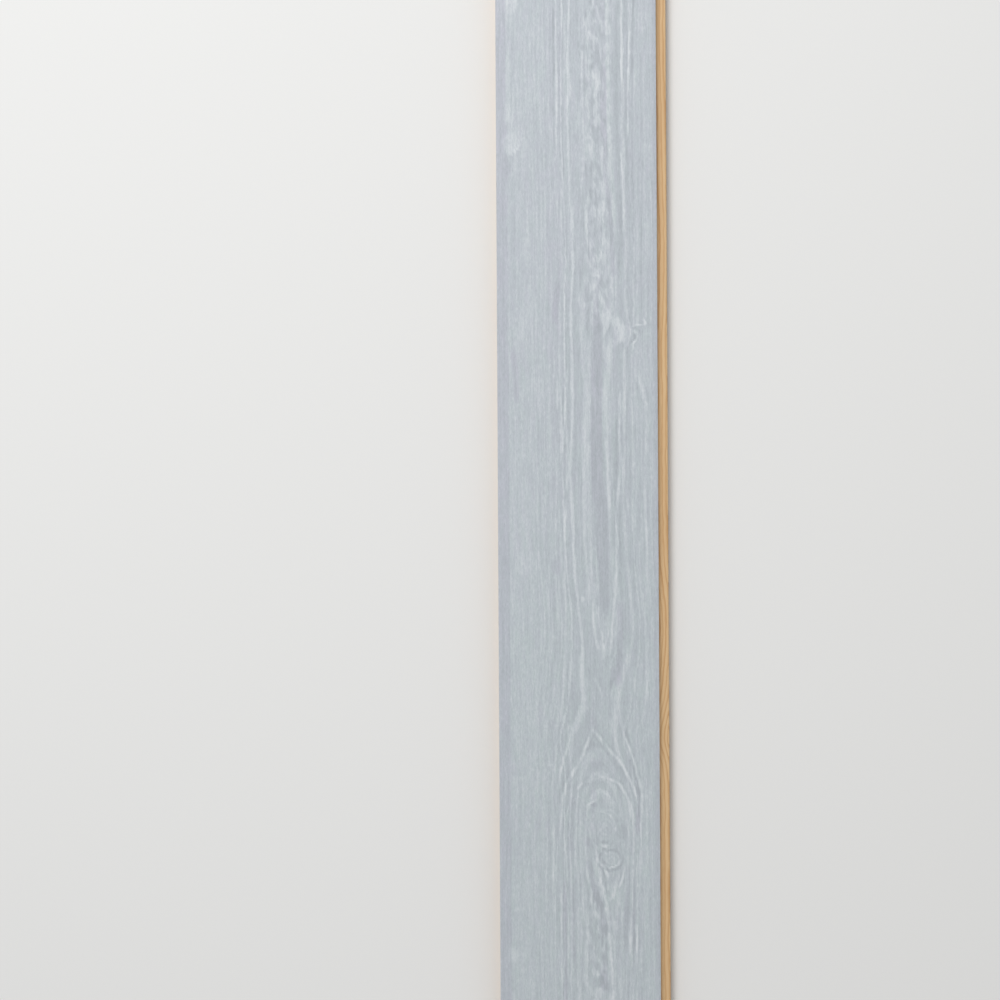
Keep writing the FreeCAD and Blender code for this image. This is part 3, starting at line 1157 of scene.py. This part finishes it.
def board_faces(wide, narrow, rows, coarse):
    """The board's faces and the surface of each: a wide, fine skin and a narrower, coarser body."""
    last = rows - 1

    def on_skin(column, row):
        return row * wide + column

    def on_body(column, row):
        return wide * rows + row * narrow + column

    skin = [face for row in range(last) for face in quads(on_skin, wide, row)]
    body = []
    for row, (low, high) in enumerate(zip(coarse, coarse[1:])):
        groove_seam = [on_skin(wide - 1, seam_row) for seam_row in range(low, high + 1)]
        tongue_seam = [on_skin(0, seam_row) for seam_row in range(high, low - 1, -1)]
        body.append([*groove_seam, on_body(0, row + 1), on_body(0, row)])
        body.append([on_body(narrow - 1, row), on_body(narrow - 1, row + 1), *tongue_seam])
        body += quads(on_body, narrow, row)
    low_end = [on_skin(i, 0) for i in range(wide)] + [on_body(i, 0) for i in range(narrow)]
    high_end = [on_skin(i, last) for i in range(wide)]
    high_end += [on_body(i, len(coarse) - 1) for i in range(narrow)]
    ends = [low_end, high_end[::-1]]
    return skin + body + ends, [SKIN] * len(skin) + [BODY] * len(body) + [END] * len(ends)


def wobble(places, grain):
    """Smooth noise about zero at places on the face, stretched as the grain says."""
    return np.array([noise.noise((x / grain.across, y / grain.along, grain.start)) for x, y in places])


def drawn_on(places):
    """The tone and the hue drawn at places on the face, given as x and y in mm."""
    x, y = np.array(places).T
    return drawn_figure(x, y, wobble(places, RAGGED_LINE), wobble(places, WORN))


def board_mesh(sizes):
    """The plain board before it is brushed: a fine skin for the face, stitched to a coarser body."""
    skin = skin_run(sizes)
    body = body_run(sizes)
    rows = row_places(sizes.length / MM / 2)
    coarse = [*range(0, len(rows) - 1, ROWS_TO_A_BODY_ROW), len(rows) - 1]
    points = [(point.x * MM, y * MM, point.y * MM) for y in rows for point in skin]
    points += [(point.x * MM, rows[row] * MM, point.y * MM) for row in coarse for point in body]
    faces, surfaces = board_faces(len(skin), len(body), len(rows), coarse)
    mesh = bpy.data.meshes.new("brushed_board")
    mesh.from_pydata(points, [], faces)
    drop = sizes.thickness / MM - SKIN_EDGE
    brushed = [max(0.0, (point.y - SKIN_EDGE) / drop) ** 2 for point in skin] * len(rows)
    tone, hue = drawn_on([(point.x, y) for y in rows for point in skin])
    bare = [0.0] * (len(coarse) * len(body))
    for name, values in ((BRUSHED, brushed), (TONE_AND_PAINTED_LIGHT, tone), (PAINT_HUE, hue)):
        mesh.attributes.new(name, "FLOAT", "POINT").data.foreach_set("value", [*values, *bare])
    mesh.attributes.new(SURFACE, "INT", "FACE").data.foreach_set("value", surfaces)
    return mesh


RELIEF_SWING = 0.45
RELIEF_REST = 0.35
WEAR = Grain(across=3.0, along=9.0, deep=5.0, start=4.4, detail=2.0)
WEAR_SWING = 2.0
WEAR_LEVEL = 0.5
SEED_STEP = 10.0
END_REACH = 0.9
ARRIS_REACH = 1.4
CREASE = math.radians(35)


def make_brushing_tree(figure, materials):
    """The geometry tree that brushes the face down between its ridges and eases its edges."""
    tree, bench, given = new_group(
        "GeometryNodeTree", "brush the face",
        [("Board", "NodeSocketGeometry", None), ("Brushed Depth", VALUE, 0.0), ("Edge Wear", VALUE, 0.0),
         ("Seed", "NodeSocketInt", 0)],
        [("Board", "NodeSocketGeometry")])
    place = bench.term("GeometryNodeInputPosition", {})
    x, y, _ = bench.parts(bench.in_mm(place))
    made = bench.group(figure, place=place)
    relief = made["Relief"] * RELIEF_SWING + RELIEF_REST
    lowered = (1.0 - bench.least(bench.most(relief, 0.0), 1.0)) * given["Brushed Depth"]
    own_place = bench.vector(x, y, given["Seed"] * SEED_STEP)
    worn = bench.most(bench.noise(own_place, WEAR) * WEAR_SWING + WEAR_LEVEL, 0.0)
    near_end = bench.bell((bench.magnitude(y) - STOCK_END) / END_REACH)
    near_arris = bench.bell((bench.magnitude(x - FACE_MIDDLE) - FACE_WIDTH / 2) / ARRIS_REACH)
    lowered = lowered + (near_end + near_arris) * worn * given["Edge Wear"]
    down = bench.vector(z=lowered * bench.stored(BRUSHED) * -1.0)
    board = bench.term("GeometryNodeSetPosition", {"Geometry": given["Board"], "Offset": down})
    for name, value in ((TONE_AND_PAINTED_LIGHT, made["Tone"]), (PAINT_HUE, made["Hue"])):
        board = bench.term("GeometryNodeStoreNamedAttribute",
                           {"Geometry": board, "Name": name, "Value": value}, data_type="FLOAT")
    board = bench.term("GeometryNodeRealizeInstances", {0: board})
    surface = bench.stored(SURFACE, "INT")
    for number, material in materials.items():
        chosen = bench.term("FunctionNodeCompare", {COMPARE_A: surface, COMPARE_B: number},
                            data_type="INT", operation="EQUAL")
        board = bench.term("GeometryNodeSetMaterial",
                           {"Geometry": board, "Selection": chosen, "Material": material})
    close_group(bench, board=board)
    return tree


def brushed_through(mesh, tree, settings):
    """A mesh put through a geometry tree with its named inputs set, as a plain mesh."""
    carrier = bpy.data.objects.new("unbrushed", mesh)
    bpy.context.collection.objects.link(carrier)
    modifier = carrier.modifiers.new("Brush", "NODES")
    modifier.node_group = tree
    for item in tree.interface.items_tree:
        if item.in_out == "INPUT" and item.name in settings:
            modifier[item.identifier] = settings[item.name]
    graph = bpy.context.evaluated_depsgraph_get()
    plain = bpy.data.meshes.new_from_object(carrier.evaluated_get(graph), depsgraph=graph)
    plain.materials.pop(index=0)  # the empty slot of the mesh as it was
    carrier.modifiers.remove(modifier)
    bpy.data.objects.remove(carrier)
    return plain


def length_property(name, description, default):
    """A length that the user can change."""
    return bpy.props.FloatProperty(name=name, description=description, default=default, unit="LENGTH")


def colour_property(name, description, default):
    """A colour that the user can change."""
    return bpy.props.FloatVectorProperty(
        name=name, description=description, default=default, subtype="COLOR", size=3, min=0, max=1)


class BoardSizes(bpy.types.PropertyGroup):
    """The board's sizes."""
    length: length_property("Length", "From end to end along the grain", stock_high.y - stock_low.y)
    thickness: length_property("Thickness", "From the back to the face", stock_high.z - stock_low.z)
    face_arris: length_property("Face arris", "Radius along both edges of the face", 0.5 * MM)
    tongue_length: length_property("Tongue length", "How far the tongue stands out", 9 * MM)
    tongue_thickness: length_property("Tongue thickness", "Across the tongue at its tip", 5.6 * MM)
    channel_count: bpy.props.IntProperty(
        name="Channels", description="Relief channels along the back", default=4)
    channel_width: length_property("Channel width", "Across the floor of a channel", 7 * MM)
    channel_depth: length_property("Channel depth", "From the back to the floor of a channel", 2 * MM)
    brushed_depth: length_property(
        "Brushed depth", "How far the soft wood is brushed down below the ridges", 0.3 * MM)
    edge_wear: length_property(
        "Edge wear", "How far the face's edges are rubbed down at the most", 0.15 * MM)
    seed: bpy.props.IntProperty(name="Seed", description="Which pattern of edge wear", default=3)


class BoardFinish(bpy.types.PropertyGroup):
    """The colours of the paint and of the bare wood."""
    paint: colour_property("Paint", "The paint where it lies evenly", (0.481, 0.525, 0.560))
    # The rubbed and the deep colours show real rubbed and pooled paint, and also painted highlight on the
    # ridges and painted shade in the furrows and along the edges
    rubbed: colour_property("Rubbed ridges", "The paint where brushing left it thin", (0.644, 0.677, 0.704))
    deep: colour_property("Deep furrows", "The paint where it lies in the furrows", (0.384, 0.417, 0.451))
    greenish: colour_property("Greenish cast", "The paint in its greener patches", (0.440, 0.597, 0.508))
    lavender: colour_property("Lavender cast", "The paint in its redder patches", (0.526, 0.453, 0.601))
    early_wood: colour_property("Early wood", "Bare pine between the rings", (0.70, 0.49, 0.27))
    late_wood: colour_property("Late wood", "Bare pine along the rings", (0.47, 0.245, 0.095))
    end_early: colour_property("End early wood", "Sawn ends between the rings", (0.58, 0.38, 0.20))
    end_late: colour_property("End late wood", "Sawn ends along the rings", (0.30, 0.145, 0.055))


class StudioSettings(bpy.types.PropertyGroup):
    """The pale floor and the soft light."""
    floor_colour: colour_property("Floor", "The floor's colour", (0.80, 0.80, 0.79))
    fill: bpy.props.FloatProperty(
        name="Fill", description="Strength of the even light all round", default=0.48)
    lamp_power: bpy.props.FloatProperty(
        name="Lamp", description="Power of the soft lamp", default=62.5, unit="POWER")
    lamp_side: length_property("Lamp size", "Side of the soft lamp", 1.6)


# The stage, in metres

FLOOR_HALF = 12.0
FLOOR_ROUGHNESS = 0.9
FLOOR_SHEEN = 0.1
SWEEP_BEGINS = 0.68
SWEEP_ENDS = 1.45
LAMP_PLACE = (-0.85, 1.6, 2.6)
PICTURE_PIXELS = 1000
PIXEL = 0.854 * MM
LENS = 85.0
SENSOR = 36.0
VIEW_X = -71.25 * MM
LEAN = math.radians(0.31)


def seen_share(bench):
    """1 where a surface is looked at, straight or in a reflection, and 0 where it only gives light."""
    path = bench.node("ShaderNodeLightPath", {})
    straight, mirrored, through = [Term(bench, path.outputs[name]) for name in (
        "Is Camera Ray", "Is Glossy Ray", "Is Transmission Ray")]
    return bench.most(straight, bench.most(mirrored, through))


def make_floor(context, studio):
    """A wide pale floor at the board's underside, which goes over into the backdrop farther out."""
    material, bench, place = new_material("pale_floor")
    x, y, _ = bench.parts(place)
    colour = colour_of(studio.floor_colour)
    surface = bench.term("ShaderNodeBsdfPrincipled", {
        "Base Color": colour, "Roughness": FLOOR_ROUGHNESS, "Specular IOR Level": FLOOR_SHEEN})
    backdrop = bench.term("ShaderNodeEmission", {"Color": colour})
    far = bench.step(SWEEP_BEGINS, SWEEP_ENDS, bench.root(x * x + y * y))
    mixed = bench.term("ShaderNodeMixShader", {0: far * seen_share(bench), 1: surface, 2: backdrop})
    bench.node("ShaderNodeOutputMaterial", {"Surface": mixed})
    mesh = bpy.data.meshes.new("pale_floor")
    corners = [(FLOOR_HALF * across, FLOOR_HALF * along, 0)
               for across, along in ((-1, -1), (1, -1), (1, 1), (-1, 1))]
    mesh.from_pydata(corners, [], [(0, 1, 2, 3)])
    mesh.materials.append(material)
    floor = bpy.data.objects.new("pale_floor", mesh)
    context.collection.objects.link(floor)


def make_lamp(context, studio):
    """A large soft lamp up past the board's groove side and its far end."""
    lamp = bpy.data.lights.new("soft_lamp", "AREA")
    lamp.shape = "SQUARE"
    lamp.size = studio.lamp_side
    lamp.energy = studio.lamp_power
    holder = bpy.data.objects.new("soft_lamp", lamp)
    holder.location = LAMP_PLACE
    holder.rotation_euler = (-Vector(LAMP_PLACE)).to_track_quat("-Z", "Y").to_euler()
    context.collection.objects.link(holder)


def make_fill(context, studio):
    """Even light from all round, which the camera sees as a pale backdrop."""
    world = bpy.data.worlds.new("fill_light")
    world.use_nodes = True
    world.node_tree.nodes.clear()
    bench = Bench(world.node_tree)
    light = bench.term("ShaderNodeBackground", {"Color": WHITE, "Strength": studio.fill})
    backdrop = bench.term("ShaderNodeBackground",
                          {"Color": colour_of(studio.floor_colour), "Strength": 1.0})
    mixed = bench.term("ShaderNodeMixShader", {0: seen_share(bench), 1: light, 2: backdrop})
    bench.node("ShaderNodeOutputWorld", {"Surface": mixed})
    context.scene.world = world


def make_camera(context):
    """The camera straight above the photograph's middle, which is close by the board's groove edge."""
    lens = bpy.data.cameras.new("camera")
    lens.lens = LENS
    lens.sensor_width = SENSOR
    camera = bpy.data.objects.new("camera", lens)
    height = PICTURE_PIXELS * PIXEL * LENS / SENSOR
    camera.location = (VIEW_X, 0, FACE_HEIGHT * MM + height)
    camera.rotation_euler = (0, 0, -LEAN)
    context.collection.objects.link(camera)
    context.scene.camera = camera


class BOARD_OT_set_stage(bpy.types.Operator):
    """Lay the pale floor, and set the soft lamp, the fill light and the camera"""
    bl_idname = "board.set_stage"
    bl_label = "Set stage"

    def execute(self, context):
        studio = context.scene.board_studio
        make_floor(context, studio)
        make_lamp(context, studio)
        make_fill(context, studio)
        make_camera(context)
        context.scene.view_settings.view_transform = "Standard"
        return {"FINISHED"}


class BOARD_OT_make_board(bpy.types.Operator):
    """Make the brushed and painted board"""
    bl_idname = "board.make_board"
    bl_label = "Make board"

    def execute(self, context):
        sizes = context.scene.board_sizes
        finish = context.scene.board_finish
        pine = make_pine_group(make_ring_group("ShaderNodeTree"))
        materials = {
            SKIN: make_brushed_paint(make_fibre_group(), finish),
            BODY: make_planed_pine(pine, finish),
            END: make_sawn_end(pine, finish),
        }
        tree = make_brushing_tree(make_figure_group(make_ring_group("GeometryNodeTree")), materials)
        settings = {
            "Brushed Depth": sizes.brushed_depth,
            "Edge Wear": sizes.edge_wear,
            "Seed": sizes.seed,
        }
        mesh = brushed_through(board_mesh(sizes), tree, settings)
        mesh.name = "brushed_board"
        for name in (BRUSHED, SURFACE):
            mesh.attributes.remove(mesh.attributes[name])
        mesh.shade_smooth()
        mesh.set_sharp_from_angle(angle=CREASE)
        piece = bpy.data.objects.new("brushed_board", mesh)
        context.collection.objects.link(piece)
        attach(piece, "root")
        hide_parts("board")
        return {"FINISHED"}


class BOARD_PT_panel(bpy.types.Panel):
    """The board's sizes, colours and stage"""
    bl_idname = "BOARD_PT_panel"
    bl_label = "Tongue and groove board"
    bl_space_type = "VIEW_3D"
    bl_region_type = "UI"
    bl_category = "Board"

    def draw(self, context):
        scene = context.scene
        self.list_settings(scene.board_sizes)
        self.list_settings(scene.board_finish)
        self.layout.operator("board.make_board")
        self.list_settings(scene.board_studio)
        self.layout.operator("board.set_stage")

    def list_settings(self, settings):
        column = self.layout.column(align=True)
        for name in settings.__annotations__:
            column.prop(settings, name)


CLASSES = (
    BoardSizes, BoardFinish, StudioSettings,
    BOARD_OT_set_stage, BOARD_OT_make_board, BOARD_PT_panel,
)


def register():
    for cls in CLASSES:
        bpy.utils.register_class(cls)
    bpy.types.Scene.board_sizes = bpy.props.PointerProperty(type=BoardSizes)
    bpy.types.Scene.board_finish = bpy.props.PointerProperty(type=BoardFinish)
    bpy.types.Scene.board_studio = bpy.props.PointerProperty(type=StudioSettings)


def unregister():
    del bpy.types.Scene.board_studio
    del bpy.types.Scene.board_finish
    del bpy.types.Scene.board_sizes
    for cls in reversed(CLASSES):
        bpy.utils.unregister_class(cls)


def main():
    """Makes the board and its stage."""
    register()
    bpy.ops.board.set_stage()
    bpy.ops.board.make_board()


if __name__ == "__main__":
    main()
